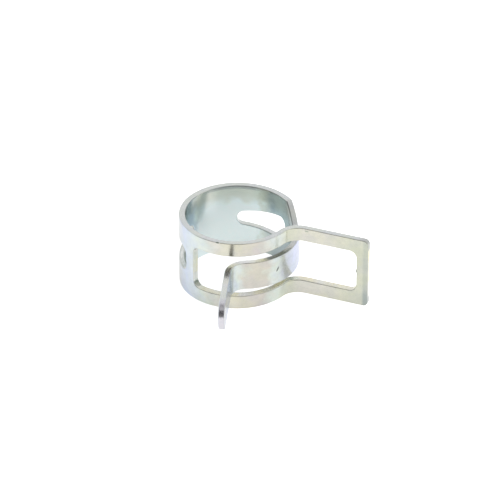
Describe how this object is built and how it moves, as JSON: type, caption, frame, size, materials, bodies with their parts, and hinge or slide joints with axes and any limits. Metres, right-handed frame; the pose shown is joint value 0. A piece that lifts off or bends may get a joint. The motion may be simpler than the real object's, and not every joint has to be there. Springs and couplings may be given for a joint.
{
  "type": "tubing pinch clamp",
  "caption": "One-piece spring strip band clamp for soft tubing, with a windowed fork tab and a tongue tab that are squeezed together to open it.",
  "frame": {"origin": "on the bore axis, at the lower band edge that the clamp stands on", "axes": "+Z along the bore axis and up, +X to the side of the fork tab, -Y towards the tongue tab"},
  "size_m": [0.02, 0.021, 0.008],
  "materials": {
    "plated_spring_steel": "bright plated spring steel with a faint yellow-green and blue passivation tint"
  },
  "bodies": {
    "root": {"clamp_band": "plated_spring_steel"}
  },
  "joints": []
}
